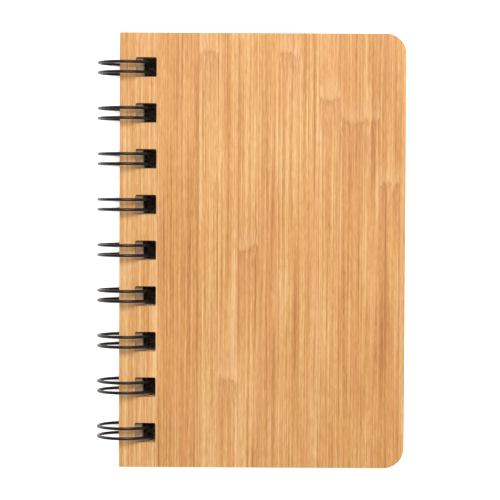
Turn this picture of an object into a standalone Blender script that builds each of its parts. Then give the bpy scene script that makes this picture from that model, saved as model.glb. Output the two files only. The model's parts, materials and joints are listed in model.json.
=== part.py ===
"""A pocket notebook: two bamboo boards and seventy sheets of paper on a twin-loop wire.

Metres, +Z up. +X runs from the spine to the fore edge and +Y towards the top of the page.
The origin is under the middle of the closed notebook, on the surface it lies on. Boards and
leaves turn about the hinge line, which is the loops' common axis and runs along Y. Levels and
distances across the page are measured from that line.
"""

import math

import bpy

MM = 0.001

# Twin-loop wire
WIRE_RADIUS = 0.5 * MM
LOOP_RADIUS = 8.75 * MM  # hinge line to the middle of the wire
PAIR_COUNT = 9
PAIR_PITCH = 14.72 * MM
TWIN_SPACING = 3.22 * MM  # between the middles of a pair's two wires
SEAM_ANGLE = math.radians(-35.3)  # the straight lengths that join the pairs
TIP_ANGLE = math.radians(314)  # the end of each pair's U
ARC_STEP_DEG = 18
ARC_FIRST_DEG = -18
ARC_LAST_DEG = 288
TIP_STEPS = 4
BEND_STEPS = 2
SEAM_BEND = 1.0 * MM
SEAM_CUT = 0.3 * MM  # the gap between one pair's node and the next
FREE_END = 0.5 * MM

# Boards
BOARD_WIDTH = 92.0 * MM
BOARD_HEIGHT = 140.0 * MM
BOARD_THICKNESS = 1.6 * MM
BOARD_CORNER = 6.5 * MM
BOARD_SPINE = -1.65 * MM
BACK_LEVEL = -6.5 * MM
FRONT_LEVEL = 4.55 * MM

# Leaves, in bundles of sheets
BUNDLE_COUNT = 10
SHEETS_IN_BUNDLE = 7
SHEET_THICKNESS = 0.1 * MM
BUNDLE_PITCH = 0.8 * MM
TOP_BUNDLE_LEVEL = 3.2 * MM
LEAF_SPINE = 2.0 * MM
LEAF_INSET = 2.0 * MM
LEAF_CORNER = 5.5 * MM

# Punched holes
HOLE_FAR = 10.15 * MM
BOARD_HOLE_NEAR = 3.45 * MM
LEAF_HOLE_NEAR = 5.7 * MM
BOARD_HOLE_HEIGHT = 6.3 * MM
LEAF_HOLE_HEIGHT = 6.1 * MM

CORNER_STEPS = 6

# Places that follow from the dimensions above
HINGE_Z = LOOP_RADIUS + WIRE_RADIUS
FORE_EDGE = BOARD_SPINE + BOARD_WIDTH
HINGE_X = (HINGE_Z - FORE_EDGE) / 2  # the loops' outside and the fore edge lie evenly about X = 0


def clear_scene():
    for obj in list(bpy.data.objects):
        bpy.data.objects.remove(obj, do_unlink=True)


def new_collection(name):
    collection = bpy.data.collections.new(name)
    bpy.context.scene.collection.children.link(collection)
    return collection


def make_material(name, color, roughness, metallic=0.0):
    material = bpy.data.materials.new(name)
    material.use_nodes = True
    shader = material.node_tree.nodes["Principled BSDF"]
    shader.inputs["Base Color"].default_value = (*color, 1)
    shader.inputs["Roughness"].default_value = roughness
    shader.inputs["Metallic"].default_value = metallic
    return material


def pair_places():
    """The Y of each pair's middle, from the foot of the page to its head."""
    middle = (PAIR_COUNT - 1) / 2
    return [(i - middle) * PAIR_PITCH for i in range(PAIR_COUNT)]


def make_hinge(name, parent, collection):
    """An empty on the hinge line, which carries one turning body."""
    hinge = bpy.data.objects.new(name, None)
    collection.objects.link(hinge)
    hinge.parent = parent
    if parent is None:
        hinge.location = (HINGE_X, 0, HINGE_Z)
    return hinge


# Flat punched pieces


def corner_arc(center, radius, start):
    """A quarter turn, counter-clockwise, with both its ends."""
    turns = [start + math.pi / 2 * i / CORNER_STEPS for i in range(CORNER_STEPS + 1)]
    return [(center[0] + radius * math.cos(a), center[1] + radius * math.sin(a)) for a in turns]


def page_outline(spine, fore, half_height, corner):
    """Square at the spine and round at the fore edge, counter-clockwise."""
    center_x = fore - corner
    center_y = half_height - corner
    foot = corner_arc((center_x, -center_y), corner, -math.pi / 2)
    head = corner_arc((center_x, center_y), corner, 0)
    return [(spine, -half_height), *foot, *head, (spine, half_height)]


def hole_outline(near, height, y):
    half = height / 2
    return [(near, y - half), (HOLE_FAR, y - half), (HOLE_FAR, y + half), (near, y + half)]


def add_loop(curve, outline):
    spline = curve.splines.new("POLY")
    spline.points.add(len(outline) - 1)
    for point, (x, y) in zip(spline.points, outline):
        point.co = (x, y, 0, 1)
    spline.use_cyclic_u = True


def make_plate(name, outline, holes, thickness, level, hinge, material, collection):
    curve = bpy.data.curves.new(name, "CURVE")
    curve.dimensions = "2D"
    curve.fill_mode = "BOTH"
    curve.extrude = thickness / 2
    for loop in [outline, *holes]:
        add_loop(curve, loop)
    curve.materials.append(material)
    plate = bpy.data.objects.new(name, curve)
    collection.objects.link(plate)
    plate.parent = hinge
    plate.location = (0, 0, level)


def make_board(name, level, hinge, material, collection):
    outline = page_outline(BOARD_SPINE, FORE_EDGE, BOARD_HEIGHT / 2, BOARD_CORNER)
    holes = [hole_outline(BOARD_HOLE_NEAR, BOARD_HOLE_HEIGHT, y) for y in pair_places()]
    make_plate(name, outline, holes, BOARD_THICKNESS, level, hinge, material, collection)


def make_bundle(name, level, hinge, material, collection):
    half_height = BOARD_HEIGHT / 2 - LEAF_INSET
    outline = page_outline(LEAF_SPINE, FORE_EDGE - LEAF_INSET, half_height, LEAF_CORNER)
    holes = [hole_outline(LEAF_HOLE_NEAR, LEAF_HOLE_HEIGHT, y) for y in pair_places()]
    thickness = SHEETS_IN_BUNDLE * SHEET_THICKNESS
    make_plate(name, outline, holes, thickness, level, hinge, material, collection)


# Wire


def seam_bend():
    """The turn from the seam up to the arc, as (y from the pair's middle, angle about the hinge)."""
    half = TWIN_SPACING / 2
    turns = [math.pi / 2 * i / BEND_STEPS for i in range(BEND_STEPS + 1)]
    rise = SEAM_BEND / LOOP_RADIUS
    return [
        (-half - SEAM_BEND * (1 - math.sin(t)), SEAM_ANGLE + rise * (1 - math.cos(t)))
        for t in turns
    ]


def half_arc():
    """The long way round, from the seam to the start of the tip."""
    steps = (ARC_LAST_DEG - ARC_FIRST_DEG) // ARC_STEP_DEG
    angles = [math.radians(ARC_FIRST_DEG + ARC_STEP_DEG * i) for i in range(steps + 1)]
    return [(-TWIN_SPACING / 2, angle) for angle in angles]


def tip():
    """The U that closes the pair."""
    half = TWIN_SPACING / 2
    drop = half / LOOP_RADIUS
    turns = [math.pi * i / TIP_STEPS for i in range(TIP_STEPS + 1)]
    return [(-half * math.cos(u), TIP_ANGLE - drop + drop * math.sin(u)) for u in turns]


def pair_route(foot_reach, head_reach):
    """One pair from its foot seam to its head seam, as (y, angle)."""
    up = [*seam_bend(), *half_arc()]
    down = [(-y, angle) for y, angle in reversed(up)]
    return [(-foot_reach, SEAM_ANGLE), *up, *tip(), *down, (head_reach, SEAM_ANGLE)]


def make_wire_pair(number, y, hinge, material, collection):
    joined = (PAIR_PITCH - SEAM_CUT) / 2
    free = TWIN_SPACING / 2 + SEAM_BEND + FREE_END
    foot_reach = free if number == 1 else joined
    head_reach = free if number == PAIR_COUNT else joined
    route = pair_route(foot_reach, head_reach)
    name = f"wire_pair_{number}"
    curve = bpy.data.curves.new(name, "CURVE")
    curve.dimensions = "3D"
    curve.bevel_depth = WIRE_RADIUS
    curve.bevel_resolution = 2
    curve.use_fill_caps = True
    spline = curve.splines.new("POLY")
    spline.points.add(len(route) - 1)
    for point, (along, angle) in zip(spline.points, route):
        point.co = (LOOP_RADIUS * math.cos(angle), along, LOOP_RADIUS * math.sin(angle), 1)
    spline.use_smooth = True
    curve.materials.append(material)
    pair = bpy.data.objects.new(name, curve)
    collection.objects.link(pair)
    pair.parent = hinge
    pair.location = (0, y, 0)


def main():
    clear_scene()
    collection = new_collection("pocket_notebook")
    bamboo = make_material("bamboo", (0.76, 0.39, 0.15), 0.45)
    paper = make_material("paper", (0.50, 0.35, 0.225), 0.9)
    enamel = make_material("black_wire", (0.02, 0.02, 0.02), 0.35)

    wire_axis = make_hinge("wire_axis", None, collection)
    for number, y in enumerate(pair_places(), start=1):
        make_wire_pair(number, y, wire_axis, enamel, collection)

    back_hinge = make_hinge("back_cover_hinge", wire_axis, collection)
    make_board("back_cover", BACK_LEVEL, back_hinge, bamboo, collection)

    # Each bundle turns on the one below it, so they are made from the bottom up
    hinge = wire_axis
    for number in range(BUNDLE_COUNT, 0, -1):
        name = f"leaves_{number:02d}"
        level = TOP_BUNDLE_LEVEL - (number - 1) * BUNDLE_PITCH
        hinge = make_hinge(f"{name}_turn", hinge, collection)
        make_bundle(name, level, hinge, paper, collection)

    front_hinge = make_hinge("front_cover_hinge", hinge, collection)
    make_board("front_cover", FRONT_LEVEL, front_hinge, bamboo, collection)


main()
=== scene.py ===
"""The looks of a pocket notebook: bamboo boards, seventy loose sheets and one black twin-loop wire.

Everything is in metres and in the frame's axes: +X from the spine to the fore edge, +Y towards the
top of the page, +Z out through the front cover. Distances across the page are measured from the
hinge line, the loops' common axis.
"""

import json
import math
import random

import bmesh
import bpy
from mathutils import Matrix, Vector


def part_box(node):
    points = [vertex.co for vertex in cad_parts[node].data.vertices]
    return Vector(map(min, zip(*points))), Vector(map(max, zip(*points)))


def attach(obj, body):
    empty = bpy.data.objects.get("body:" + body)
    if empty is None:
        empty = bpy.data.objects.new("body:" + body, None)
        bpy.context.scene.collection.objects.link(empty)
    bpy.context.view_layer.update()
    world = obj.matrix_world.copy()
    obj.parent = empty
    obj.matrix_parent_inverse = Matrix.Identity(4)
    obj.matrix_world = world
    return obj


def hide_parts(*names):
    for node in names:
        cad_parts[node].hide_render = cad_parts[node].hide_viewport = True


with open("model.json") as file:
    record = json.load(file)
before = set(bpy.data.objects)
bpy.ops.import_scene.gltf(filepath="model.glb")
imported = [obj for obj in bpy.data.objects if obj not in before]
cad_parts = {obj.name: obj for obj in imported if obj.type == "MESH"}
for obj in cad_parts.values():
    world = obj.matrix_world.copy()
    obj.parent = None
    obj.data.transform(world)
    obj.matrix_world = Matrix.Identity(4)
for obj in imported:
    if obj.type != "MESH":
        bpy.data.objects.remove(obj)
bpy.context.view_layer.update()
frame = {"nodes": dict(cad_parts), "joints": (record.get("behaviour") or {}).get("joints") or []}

MM = 0.001

# Places read from the frame
HINGE = Vector(frame["joints"][0]["pos_m"])
BUNDLES = sorted(name for name in frame["nodes"] if name.startswith("leaves_"))
WIRE_PAIRS = sorted(name for name in frame["nodes"] if name.startswith("wire_pair_"))
PAIR_COUNT = len(WIRE_PAIRS)
WIRE_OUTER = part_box("wire_pair_5")[1].z - HINGE.z

# Wire
WIRE_RADIUS = 0.5 * MM
LOOP_RADIUS = WIRE_OUTER - WIRE_RADIUS
TWIN_SPACING = 3.22 * MM
SEAM_ANGLE = math.radians(-35.3)
TIP_ANGLE = math.radians(314)
ARC_FIRST = math.radians(-18)
ARC_LAST = math.radians(288)
ARC_STEPS = 52
TIP_STEPS = 12
BEND_STEPS = 6
SEAM_BEND = 1.0 * MM
FREE_END = 0.5 * MM

# Boards and sheets
BOARD_CORNER = 6.5 * MM
BOARD_EASE = 0.22 * MM
LEAF_CORNER = 5.5 * MM
HOLE_FAR = 10.15 * MM
BOARD_HOLE_NEAR = 3.45 * MM
LEAF_HOLE_NEAR = 5.7 * MM
BOARD_HOLE_HEIGHT = 6.3 * MM
LEAF_HOLE_HEIGHT = 6.1 * MM
HOLE_CORNER = 0.45 * MM
SHEETS_IN_BUNDLE = 7
SHEET_THICKNESS = 0.09 * MM
BUNDLE_PITCH = 0.8 * MM
SHEET_SHIFT = 0.09 * MM
SHEET_TURN = math.radians(0.04)
CORNER_STEPS = 14
HOLE_CORNER_STEPS = 4
SHARP_ANGLE = math.radians(40)  # a sharper edge than this is eased
SHEET_SEED = 7

# Bamboo
STRIP_WIDTH = 6.5 * MM
FIRST_JOINT = 5.7 * MM  # from the spine edge to the first glued joint
STRIP_COUNT = 15
STRIP_TONE_RANGE = (0.40, 0.64)  # from a dark strip to a pale one
# Strip number: how far up the board its knuckle lies, as a share of the height
FRONT_KNUCKLES = {4: 0.95, 5: 0.2, 6: 0.5, 8: 0.95, 10: 0.85, 11: 0.8, 12: 0.8, 13: 0.65}
BACK_KNUCKLES = {0: 0.35, 3: 0.7, 5: 0.1, 7: 0.45, 9: 0.85, 10: 0.3, 12: 0.6, 14: 0.4}
KNUCKLE_SPAN = 1.5  # a strip with no knuckle has its level this far up, off the board
# Where each board lies in the noise. Their whole parts seed the strips' tones
FRONT_GRAIN = 2.0
BACK_GRAIN = 41.0
BAMBOO_DARK = (0.43, 0.165, 0.040, 1)
BAMBOO_MIDDLE = (0.70, 0.345, 0.106, 1)
BAMBOO_PALE = (0.90, 0.585, 0.275, 1)
BAMBOO_WARM = (0.74, 0.335, 0.145, 1)
LINE_DARK = (0.43, 0.155, 0.045, 1)
LINE_PALE = (0.92, 0.62, 0.31, 1)
GLUE_AND_PORES = (0.36, 0.14, 0.045, 1)
KNUCKLE_PALE = (0.86, 0.55, 0.29, 1)
KNUCKLE_TORN = (0.50, 0.185, 0.065, 1)
KNUCKLE_LINE = (0.30, 0.11, 0.04, 1)

# Paper and wire coating
PAPER_DARK = (0.36, 0.245, 0.15, 1)
PAPER_PALE = (0.48, 0.34, 0.22, 1)
PAPER_FLECK = (0.32, 0.21, 0.12, 1)
RULE_COLOR = (0.22, 0.20, 0.19, 1)
RULE_PITCH = 7 * MM
RULE_WIDTH = 0.22 * MM
HEAD_MARGIN = 16 * MM  # from the top of the page to the first ruled line
COATING_DARK = (0.005, 0.005, 0.006, 1)
COATING_PALE = (0.014, 0.013, 0.013, 1)

# Camera and light
CAMERA_HEIGHT = 630 * MM  # above the front cover
CAMERA_TOWARDS_TOP = 20 * MM
CAMERA_ROLL = math.radians(0.3)
VIEW_CENTRE = (-0.15 * MM, 0.3 * MM)  # the point on the cover in the middle of the view
CAMERA_LENS = 141
SENSOR = 36
WORLD_LIGHT = 0.28
# Each light's place, size in metres and power in watts. Both face the origin
HEAD_LIGHT = ((0.10, 0.36, 0.74), 0.45, 6.55)
FOOT_LIGHT = ((0.35, -0.75, 0.9), 0.8, 0.4)
FLOOR_SIZE = 4.0
# Painted light: the floor glows in the open, so no cast shadow shows on it there
FLOOR_GLOW = 0.8
FLOOR_REACH = 30 * MM  # how far off a thing may be and still enclose a point of the floor
FLOOR_OPENNESS = (0.12, 0.38)  # the share of sky from which the floor's painted shade starts and stops
# The floor's colour in the open, then a near-black painted shade where things above enclose it
FLOOR_LIT = (0.9, 0.9, 0.9, 1)
FLOOR_PAINTED_SHADE = (0.10, 0.08, 0.07, 1)


# Node helpers


class Nodes:
    """Short calls for building one material's node tree."""

    def __init__(self, name):
        self.material = bpy.data.materials.new(name)
        self.material.use_nodes = True
        self.tree = self.material.node_tree
        self.shader = self.tree.nodes["Principled BSDF"]

    def link(self, source, target):
        self.tree.links.new(source, target)

    def put(self, socket, value):
        if isinstance(value, bpy.types.NodeSocket):
            self.link(value, socket)
        else:
            socket.default_value = value

    def math(self, operation, a, b=0.0):
        node = self.tree.nodes.new("ShaderNodeMath")
        node.operation = operation
        self.put(node.inputs[0], a)
        self.put(node.inputs[1], b)
        return node.outputs[0]

    def scaled(self, noise, amount):
        """A noise brought to lie evenly about zero, times amount."""
        return self.math("MULTIPLY", self.math("SUBTRACT", noise, 0.5), amount)

    def object_axes(self):
        place = self.tree.nodes.new("ShaderNodeTexCoord").outputs["Object"]
        split = self.tree.nodes.new("ShaderNodeSeparateXYZ")
        self.link(place, split.inputs[0])
        return place, split.outputs

    def noise(self, place, grain, detail=2.0, roughness=0.5, offset=0.0):
        """Noise whose features measure about grain, in metres, along X, Y and Z."""
        mapping = self.tree.nodes.new("ShaderNodeMapping")
        self.link(place, mapping.inputs["Vector"])
        mapping.inputs["Scale"].default_value = [1 / size for size in grain]
        mapping.inputs["Location"].default_value = (offset, offset * 0.7, offset * 1.3)
        node = self.tree.nodes.new("ShaderNodeTexNoise")
        node.inputs["Scale"].default_value = 1.0
        node.inputs["Detail"].default_value = detail
        node.inputs["Roughness"].default_value = roughness
        self.link(mapping.outputs[0], node.inputs["Vector"])
        return node.outputs["Fac"]

    def remap(self, value, low, high, to_low=0.0, to_high=1.0):
        node = self.tree.nodes.new("ShaderNodeMapRange")
        self.put(node.inputs["Value"], value)
        node.inputs["From Min"].default_value = low
        node.inputs["From Max"].default_value = high
        node.inputs["To Min"].default_value = to_low
        node.inputs["To Max"].default_value = to_high
        return node.outputs[0]

    def mix(self, factor, a, b):
        node = self.tree.nodes.new("ShaderNodeMix")
        node.data_type = "RGBA"
        self.put(node.inputs[0], factor)
        self.put(node.inputs[6], a)
        self.put(node.inputs[7], b)
        return node.outputs[2]

    def steps(self, factor, values):
        """A stepped lookup: equal shares of factor give the values in turn."""
        node = self.tree.nodes.new("ShaderNodeValToRGB")
        ramp = node.color_ramp
        ramp.interpolation = "CONSTANT"
        while len(ramp.elements) < len(values):
            ramp.elements.new(1.0)
        for i, value in enumerate(values):
            ramp.elements[i].position = i / len(values)
            ramp.elements[i].color = (value, value, value, 1)
        self.put(node.inputs[0], factor)
        return node.outputs[0]

    def bump(self, height, strength, distance):
        node = self.tree.nodes.new("ShaderNodeBump")
        node.inputs["Strength"].default_value = strength
        node.inputs["Distance"].default_value = distance
        self.link(height, node.inputs["Height"])
        self.link(node.outputs[0], self.shader.inputs["Normal"])


# Materials


def strip_layout(n, axes, board):
    """(share of the way across, place within a strip from 0 to 1, the strip's number)."""
    low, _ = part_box(board)
    first_edge = low.x + FIRST_JOINT - STRIP_WIDTH
    across = n.math("DIVIDE", n.math("SUBTRACT", axes["X"], first_edge), STRIP_WIDTH)
    share = n.math("DIVIDE", across, STRIP_COUNT)
    return share, n.math("FRACT", across), n.math("FLOOR", across)


def above_knuckle(n, place, axes, board, share, knuckles, offset):
    """How far up the board a point is from its strip's knuckle, as a ragged share of the height."""
    low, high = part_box(board)
    up = n.math("DIVIDE", n.math("SUBTRACT", axes["Y"], low.y), high.y - low.y)
    levels = [knuckles.get(strip, KNUCKLE_SPAN) / KNUCKLE_SPAN for strip in range(STRIP_COUNT)]
    level = n.math("MULTIPLY", n.steps(share, levels), KNUCKLE_SPAN)
    ragged = n.noise(place, (1.1 * MM, 5 * MM, 1.1 * MM), 3.0, 0.65, offset + 21)
    slope = n.noise(place, (7 * MM, 30 * MM, 7 * MM), 1.0, 0.5, offset + 23)
    away = n.math("ADD", n.math("SUBTRACT", up, level), n.scaled(ragged, 0.035))
    return n.math("ADD", away, n.scaled(slope, 0.05))


def own_place(n, axes, number, swirl, away, offset):
    """Each strip's own place in the grain, so that no streak crosses a joint.

    Fibres swirl near a knuckle.
    """
    near = n.remap(n.math("ABSOLUTE", away), 0.0, 0.07, 1.0, 0.0)
    bend = n.math("MULTIPLY", n.scaled(swirl, 2.6 * MM), near)
    join = n.tree.nodes.new("ShaderNodeCombineXYZ")
    n.link(n.math("ADD", axes["X"], bend), join.inputs["X"])
    n.link(axes["Y"], join.inputs["Y"])
    n.link(n.math("ADD", axes["Z"], n.math("MULTIPLY", number, 31.7 * MM)), join.inputs["Z"])
    return join.outputs[0]


def fibre_color(n, tone, broad, streak, fine, hue, cloud, flecks):
    value = tone
    for part, amount in ((broad, 0.32), (streak, 0.95), (fine, 1.35), (cloud, 0.5), (flecks, 0.9)):
        value = n.math("ADD", value, n.scaled(part, amount))
    ramp = n.tree.nodes.new("ShaderNodeValToRGB")
    stops = ramp.color_ramp.elements
    stops[0].position, stops[0].color = 0.0, BAMBOO_DARK
    stops[1].position, stops[1].color = 1.0, BAMBOO_PALE
    middle = stops.new(0.5)
    middle.color = BAMBOO_MIDDLE
    n.link(value, ramp.inputs[0])
    warm = n.math("MULTIPLY", n.remap(hue, 0.45, 0.60), 0.34)
    color = n.mix(warm, ramp.outputs[0], BAMBOO_WARM)
    dark_lines = n.math("MULTIPLY", n.remap(streak, 0.40, 0.34), 0.42)
    color = n.mix(dark_lines, color, LINE_DARK)
    pale_lines = n.math("MULTIPLY", n.remap(streak, 0.60, 0.66), 0.22)
    return n.mix(pale_lines, color, LINE_PALE)


def knuckle_color(n, place, color, away, offset):
    """A pale patch above the knuckle, a dark broken line at it and brown torn fibre below."""
    broken = n.noise(place, (0.6 * MM, 8 * MM, 0.6 * MM), 3.0, 0.65, offset + 29)
    broken = n.remap(broken, 0.42, 0.60)
    below = n.math("MULTIPLY", n.remap(away, -0.13, -0.01), n.remap(away, -0.004, 0.008, 1.0, 0.0))
    above = n.math("MULTIPLY", n.remap(away, 0.0, 0.012), n.remap(away, 0.012, 0.06, 1.0, 0.0))
    gaps = n.remap(n.noise(place, (0.8 * MM, 2 * MM, 0.8 * MM), 2.0, 0.6, offset + 25), 0.44, 0.60)
    line = n.math("MULTIPLY", n.remap(n.math("ABSOLUTE", away), 0.0, 0.006, 1.0, 0.0), gaps)
    color = n.mix(n.math("MULTIPLY", above, 0.22), color, KNUCKLE_PALE)
    torn = n.math("MULTIPLY", n.math("MULTIPLY", below, broken), 0.52)
    color = n.mix(torn, color, KNUCKLE_TORN)
    return n.mix(n.math("MULTIPLY", line, 0.36), color, KNUCKLE_LINE)


def strip_tones(seed):
    """Each strip's tone, drawn at random within the range."""
    draw = random.Random(seed)
    return [draw.uniform(*STRIP_TONE_RANGE) for _ in range(STRIP_COUNT)]


def bamboo(name, board, knuckles, offset):
    """Bamboo strips glued side by side, their fibres along Y, with a knuckle on some of them."""
    n = Nodes(name)
    place, axes = n.object_axes()
    share, in_strip, number = strip_layout(n, axes, board)
    away = above_knuckle(n, place, axes, board, share, knuckles, offset)
    swirl = n.noise(place, (3.5 * MM, 6 * MM, 3.5 * MM), 2.0, 0.5, offset + 31)
    own = own_place(n, axes, number, swirl, away, offset)

    # Fibres, from broad streaks to fine lines and short dark pores
    broad = n.noise(own, (3.0 * MM, 90 * MM, 3.0 * MM), 2.0, 0.5, offset)
    streak = n.noise(own, (0.9 * MM, 95 * MM, 0.9 * MM), 3.0, 0.7, offset + 3)
    fine = n.noise(own, (0.48 * MM, 60 * MM, 0.48 * MM), 2.0, 0.6, offset + 5)
    hue = n.noise(own, (1.3 * MM, 60 * MM, 1.3 * MM), 3.0, 0.6, offset + 7)
    pores = n.noise(own, (0.24 * MM, 5.5 * MM, 0.24 * MM), 2.0, 0.6, offset + 9)
    pores = n.remap(pores, 0.60, 0.70)
    cloud = n.noise(place, (9 * MM, 45 * MM, 9 * MM), 2.0, 0.5, offset + 13)
    flecks = n.noise(own, (0.42 * MM, 3.2 * MM, 0.42 * MM), 3.0, 0.65, offset + 15)
    tone = n.steps(share, strip_tones(int(offset)))
    color = fibre_color(n, tone, broad, streak, fine, hue, cloud, flecks)
    color = n.mix(n.math("MULTIPLY", pores, 0.32), color, GLUE_AND_PORES)

    # Glued joints, some of them tight and some dark
    from_joint = n.math("MINIMUM", in_strip, n.math("SUBTRACT", 1.0, in_strip))
    joint = n.remap(from_joint, 0.0, 0.03, 1.0, 0.0)
    openness = n.noise(place, (STRIP_WIDTH, 60 * MM, 9 * MM), 1.0, 0.5, offset + 17)
    joint_depth = n.remap(openness, 0.35, 0.65, 0.10, 0.60)
    color = n.mix(n.math("MULTIPLY", joint, joint_depth), color, GLUE_AND_PORES)
    n.link(knuckle_color(n, own, color, away, offset), n.shader.inputs["Base Color"])

    n.link(n.remap(fine, 0.3, 0.7, 0.42, 0.58), n.shader.inputs["Roughness"])
    n.shader.inputs["Specular IOR Level"].default_value = 0.28
    relief = n.math("ADD", fine, n.math("MULTIPLY", streak, 0.6))
    relief = n.math("SUBTRACT", relief, n.math("MULTIPLY", pores, 0.5))
    relief = n.math("SUBTRACT", relief, n.math("MULTIPLY", joint, 0.6))
    n.bump(relief, 0.35, 0.03 * MM)
    return n.material


def paper():
    """Recycled paper with pale and dark flecks, ruled on both sides."""
    n = Nodes("ruled_paper")
    place, axes = n.object_axes()
    cloud = n.noise(place, (4 * MM, 4 * MM, 4 * MM), 3.0, 0.6)
    flecks = n.remap(n.noise(place, (0.35 * MM, 0.5 * MM, 0.35 * MM), 2.0, 0.5, 4), 0.66, 0.74)
    color = n.mix(cloud, PAPER_DARK, PAPER_PALE)
    color = n.mix(n.math("MULTIPLY", flecks, 0.35), color, PAPER_FLECK)

    # Ruled lines, on the faces of a sheet and not on its edges
    head_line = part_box(BUNDLES[0])[1].y - HEAD_MARGIN
    phase = n.math("FRACT", n.math("DIVIDE", n.math("SUBTRACT", axes["Y"], head_line), RULE_PITCH))
    line = n.math("LESS_THAN", phase, RULE_WIDTH / RULE_PITCH)
    line = n.math("MULTIPLY", line, n.math("LESS_THAN", axes["Y"], head_line + RULE_WIDTH))
    facing = n.tree.nodes.new("ShaderNodeTexCoord").outputs["Normal"]
    split = n.tree.nodes.new("ShaderNodeSeparateXYZ")
    n.link(facing, split.inputs[0])
    flat = n.math("GREATER_THAN", n.math("ABSOLUTE", split.outputs["Z"]), 0.7)
    line = n.math("MULTIPLY", n.math("MULTIPLY", line, flat), 0.45)
    color = n.mix(line, color, RULE_COLOR)
    n.link(color, n.shader.inputs["Base Color"])

    n.shader.inputs["Roughness"].default_value = 0.88
    n.shader.inputs["Specular IOR Level"].default_value = 0.2
    n.bump(n.noise(place, (0.2 * MM, 0.2 * MM, 0.2 * MM), 3.0, 0.6, 8), 0.25, 0.01 * MM)
    return n.material


def enamel():
    """Black nylon-coated wire, a little uneven in its gloss."""
    n = Nodes("black_enamel")
    place, _ = n.object_axes()
    patches = n.noise(place, (1.5 * MM, 1.5 * MM, 1.5 * MM), 3.0, 0.6)
    color = n.mix(patches, COATING_DARK, COATING_PALE)
    n.link(color, n.shader.inputs["Base Color"])
    n.link(n.remap(patches, 0.3, 0.7, 0.28, 0.42), n.shader.inputs["Roughness"])
    n.shader.inputs["Specular IOR Level"].default_value = 0.38
    n.bump(n.noise(place, (0.12 * MM, 0.12 * MM, 0.12 * MM), 2.0, 0.5, 3), 0.2, 0.01 * MM)
    return n.material


# Punched plates


def pair_places():
    """The Y of each pair's middle. The end pairs are lopsided, so inner ones give the pitch."""
    inner = [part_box(f"wire_pair_{i}") for i in (2, 3)]
    second, third = ((low.y + high.y) / 2 for low, high in inner)
    pitch = third - second
    return [second + (i - 1) * pitch for i in range(PAIR_COUNT)]


def arc(center, radius, start, steps):
    """A quarter turn, counter-clockwise, with both its ends."""
    turns = [start + math.pi / 2 * i / steps for i in range(steps + 1)]
    return [(center[0] + radius * math.cos(a), center[1] + radius * math.sin(a)) for a in turns]


def page_outline(low, high, corner):
    """Square at the spine and round at the fore edge."""
    x = high.x - corner
    foot = arc((x, low.y + corner), corner, -math.pi / 2, CORNER_STEPS)
    head = arc((x, high.y - corner), corner, 0, CORNER_STEPS)
    return [(low.x, low.y), *foot, *head, (low.x, high.y)]


def hole_outline(near, height, y):
    """A punched hole with its corners slightly rounded."""
    r = HOLE_CORNER
    left, right = HINGE.x + near, HINGE.x + HOLE_FAR
    foot, head = y - height / 2, y + height / 2
    corners = (
        (right - r, foot + r, -0.5),
        (right - r, head - r, 0),
        (left + r, head - r, 0.5),
        (left + r, foot + r, 1),
    )
    points = []
    for x, level, half_turns in corners:
        points += arc((x, level), r, half_turns * math.pi, HOLE_CORNER_STEPS)
    return points


def plate_mesh(name, outlines, thickness):
    """A closed punched plate, with its middle at Z = 0."""
    curve = bpy.data.curves.new(name, "CURVE")
    curve.dimensions = "2D"
    curve.fill_mode = "BOTH"
    curve.extrude = thickness / 2
    for outline in outlines:
        spline = curve.splines.new("POLY")
        spline.points.add(len(outline) - 1)
        for point, (x, y) in zip(spline.points, outline):
            point.co = (x, y, 0, 1)
        spline.use_cyclic_u = True
    holder = bpy.data.objects.new(name, curve)
    bpy.context.scene.collection.objects.link(holder)
    graph = bpy.context.evaluated_depsgraph_get()
    mesh = bpy.data.meshes.new_from_object(holder.evaluated_get(graph))
    bpy.data.objects.remove(holder)
    bm = bmesh.new()
    bm.from_mesh(mesh)
    bmesh.ops.remove_doubles(bm, verts=bm.verts, dist=0.002 * MM)
    bmesh.ops.recalc_face_normals(bm, faces=bm.faces)
    bm.to_mesh(mesh)
    bm.free()
    return mesh


def add_piece(name, data, material, body, nodes):
    piece = bpy.data.objects.new(name, data)
    bpy.context.scene.collection.objects.link(piece)
    data.materials.clear()
    data.materials.append(material)
    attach(piece, body)
    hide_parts(*nodes)
    return piece


def make_board(node, material):
    low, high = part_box(node)
    outlines = [page_outline(low, high, BOARD_CORNER)]
    outlines += [hole_outline(BOARD_HOLE_NEAR, BOARD_HOLE_HEIGHT, y) for y in pair_places()]
    mesh = plate_mesh(f"{node}_board", outlines, high.z - low.z)
    mesh.transform(Matrix.Translation((0, 0, (low.z + high.z) / 2)))
    board = add_piece(f"{node}_board", mesh, material, node, [node])
    ease = board.modifiers.new("eased edges", "BEVEL")
    ease.width = BOARD_EASE
    ease.segments = 3
    ease.limit_method = "ANGLE"
    ease.angle_limit = SHARP_ANGLE
    ease.harden_normals = True
    mesh.shade_smooth()
    mesh.set_sharp_from_angle(angle=SHARP_ANGLE)


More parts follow.
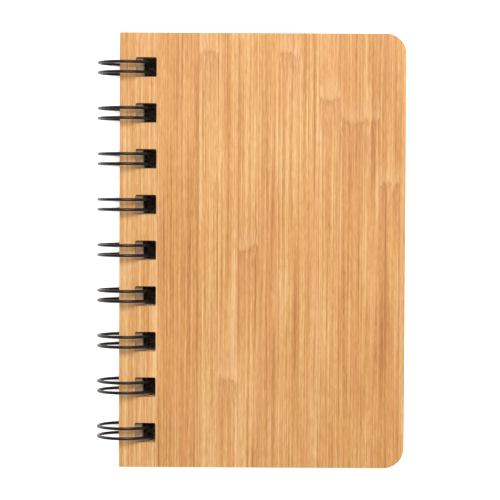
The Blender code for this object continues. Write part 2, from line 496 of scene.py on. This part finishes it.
def make_bundle(node, chance, material):
    """Seven separate sheets, each a little out of line with the others."""
    low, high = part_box(node)
    outlines = [page_outline(low, high, LEAF_CORNER)]
    outlines += [hole_outline(LEAF_HOLE_NEAR, LEAF_HOLE_HEIGHT, y) for y in pair_places()]
    sheet = plate_mesh(f"{node}_sheet", outlines, SHEET_THICKNESS)
    pitch = BUNDLE_PITCH / SHEETS_IN_BUNDLE
    bm = bmesh.new()
    for i in range(SHEETS_IN_BUNDLE):
        level = (low.z + high.z) / 2 + (i - (SHEETS_IN_BUNDLE - 1) / 2) * pitch
        shift_x = chance.uniform(-SHEET_SHIFT, SHEET_SHIFT)
        shift_y = chance.uniform(-SHEET_SHIFT, SHEET_SHIFT)
        turn = Matrix.Rotation(chance.uniform(-SHEET_TURN, SHEET_TURN), 4, "Z")
        copy = sheet.copy()
        copy.transform(Matrix.Translation((shift_x, shift_y, level)) @ turn)
        bm.from_mesh(copy)
        bpy.data.meshes.remove(copy)
    bpy.data.meshes.remove(sheet)
    mesh = bpy.data.meshes.new(f"{node}_sheets")
    bm.to_mesh(mesh)
    bm.free()
    add_piece(f"{node}_sheets", mesh, material, node, [node])


# Wire


def rise_to_tip():
    """Half a pair, from seam to tip, as (y from the pair's middle, angle about the hinge)."""
    half = TWIN_SPACING / 2
    climb = SEAM_BEND / LOOP_RADIUS
    turns = [math.pi / 2 * i / BEND_STEPS for i in range(BEND_STEPS + 1)]
    bend = [
        (-half - SEAM_BEND * (1 - math.sin(t)), SEAM_ANGLE + climb * (1 - math.cos(t)))
        for t in turns
    ]
    sweep = ARC_LAST - ARC_FIRST
    return bend + [(-half, ARC_FIRST + sweep * i / ARC_STEPS) for i in range(ARC_STEPS + 1)]


def pair_route():
    half = TWIN_SPACING / 2
    drop = half / LOOP_RADIUS
    turns = [math.pi * i / TIP_STEPS for i in range(TIP_STEPS + 1)]
    tip = [(-half * math.cos(u), TIP_ANGLE - drop + drop * math.sin(u)) for u in turns]
    up = rise_to_tip()
    return [*up, *tip, *[(-y, angle) for y, angle in reversed(up)]]


def wire_point(y, angle):
    out, up = LOOP_RADIUS * math.cos(angle), LOOP_RADIUS * math.sin(angle)
    return HINGE + Vector((out, y - HINGE.y, up))


def make_wire(material):
    """One length of wire through all nine pairs, with a free end at the foot and at the head."""
    places = pair_places()
    reach = TWIN_SPACING / 2 + SEAM_BEND + FREE_END
    route = [wire_point(places[0] - reach, SEAM_ANGLE)]
    for middle in places:
        route += [wire_point(middle + y, angle) for y, angle in pair_route()]
    route.append(wire_point(places[-1] + reach, SEAM_ANGLE))
    curve = bpy.data.curves.new("twin_loop_wire", "CURVE")
    curve.dimensions = "3D"
    curve.bevel_depth = WIRE_RADIUS
    curve.bevel_resolution = 4
    curve.use_fill_caps = True
    spline = curve.splines.new("POLY")
    spline.points.add(len(route) - 1)
    for point, place in zip(spline.points, route):
        point.co = (*place, 1)
    spline.use_smooth = True
    add_piece("twin_loop_wire", curve, material, "wire", WIRE_PAIRS)


# Stage


def make_floor():
    bpy.ops.mesh.primitive_plane_add(size=FLOOR_SIZE, location=(0, 0, 0))
    floor = bpy.context.object
    floor.name = "floor"
    n = Nodes("floor")
    n.shader.inputs["Roughness"].default_value = 0.9
    n.shader.inputs["Specular IOR Level"].default_value = 0.0
    n.shader.inputs["Emission Color"].default_value = (1, 1, 1, 1)
    # Painted light and shade: the floor glows in the open and turns to a dark painted shade where
    # shapes above enclose it. Openness is read from the shapes above the floor, so it follows each
    # pose
    openness = n.tree.nodes.new("ShaderNodeAmbientOcclusion")
    openness.samples = 16
    openness.inputs["Distance"].default_value = FLOOR_REACH
    painted_light_mask = n.remap(openness.outputs["AO"], *FLOOR_OPENNESS)
    n.link(n.math("MULTIPLY", painted_light_mask, FLOOR_GLOW), n.shader.inputs["Emission Strength"])
    n.link(n.mix(painted_light_mask, FLOOR_PAINTED_SHADE, FLOOR_LIT), n.shader.inputs["Base Color"])
    floor.data.materials.append(n.material)


def make_light(name, place, size, power):
    lamp = bpy.data.lights.new(name, "AREA")
    lamp.shape = "SQUARE"
    lamp.size = size
    lamp.energy = power
    light = bpy.data.objects.new(name, lamp)
    bpy.context.scene.collection.objects.link(light)
    light.location = place
    light.rotation_euler = (-Vector(place)).to_track_quat("-Z", "Y").to_euler()


def make_lights():
    world = bpy.data.worlds.new("studio")
    world.use_nodes = True
    world.node_tree.nodes["Background"].inputs["Color"].default_value = (1, 1, 1, 1)
    world.node_tree.nodes["Background"].inputs["Strength"].default_value = WORLD_LIGHT
    bpy.context.scene.world = world
    make_light("softbox_head", *HEAD_LIGHT)
    make_light("softbox_foot", *FOOT_LIGHT)
    bpy.context.scene.view_settings.view_transform = "Standard"


def make_camera():
    cover_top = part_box("front_cover")[1].z
    data = bpy.data.cameras.new("camera")
    data.lens = CAMERA_LENS
    data.sensor_width = SENSOR
    data.clip_start = 0.01
    camera = bpy.data.objects.new("camera", data)
    bpy.context.scene.collection.objects.link(camera)
    camera.location = (VIEW_CENTRE[0], CAMERA_TOWARDS_TOP, cover_top + CAMERA_HEIGHT)
    tilt = math.atan2(CAMERA_TOWARDS_TOP - VIEW_CENTRE[1], CAMERA_HEIGHT)
    camera.matrix_world = (
        Matrix.Translation(camera.location)
        @ Matrix.Rotation(-tilt, 4, "X")
        @ Matrix.Rotation(CAMERA_ROLL, 4, "Z")
    )
    bpy.context.scene.camera = camera


def main():
    make_camera()
    make_board("front_cover", bamboo("bamboo_front", "front_cover", FRONT_KNUCKLES, FRONT_GRAIN))
    make_board("back_cover", bamboo("bamboo_back", "back_cover", BACK_KNUCKLES, BACK_GRAIN))
    chance = random.Random(SHEET_SEED)
    sheet_paper = paper()
    for node in BUNDLES:
        make_bundle(node, chance, sheet_paper)
    make_wire(enamel())
    make_floor()
    make_lights()


main()
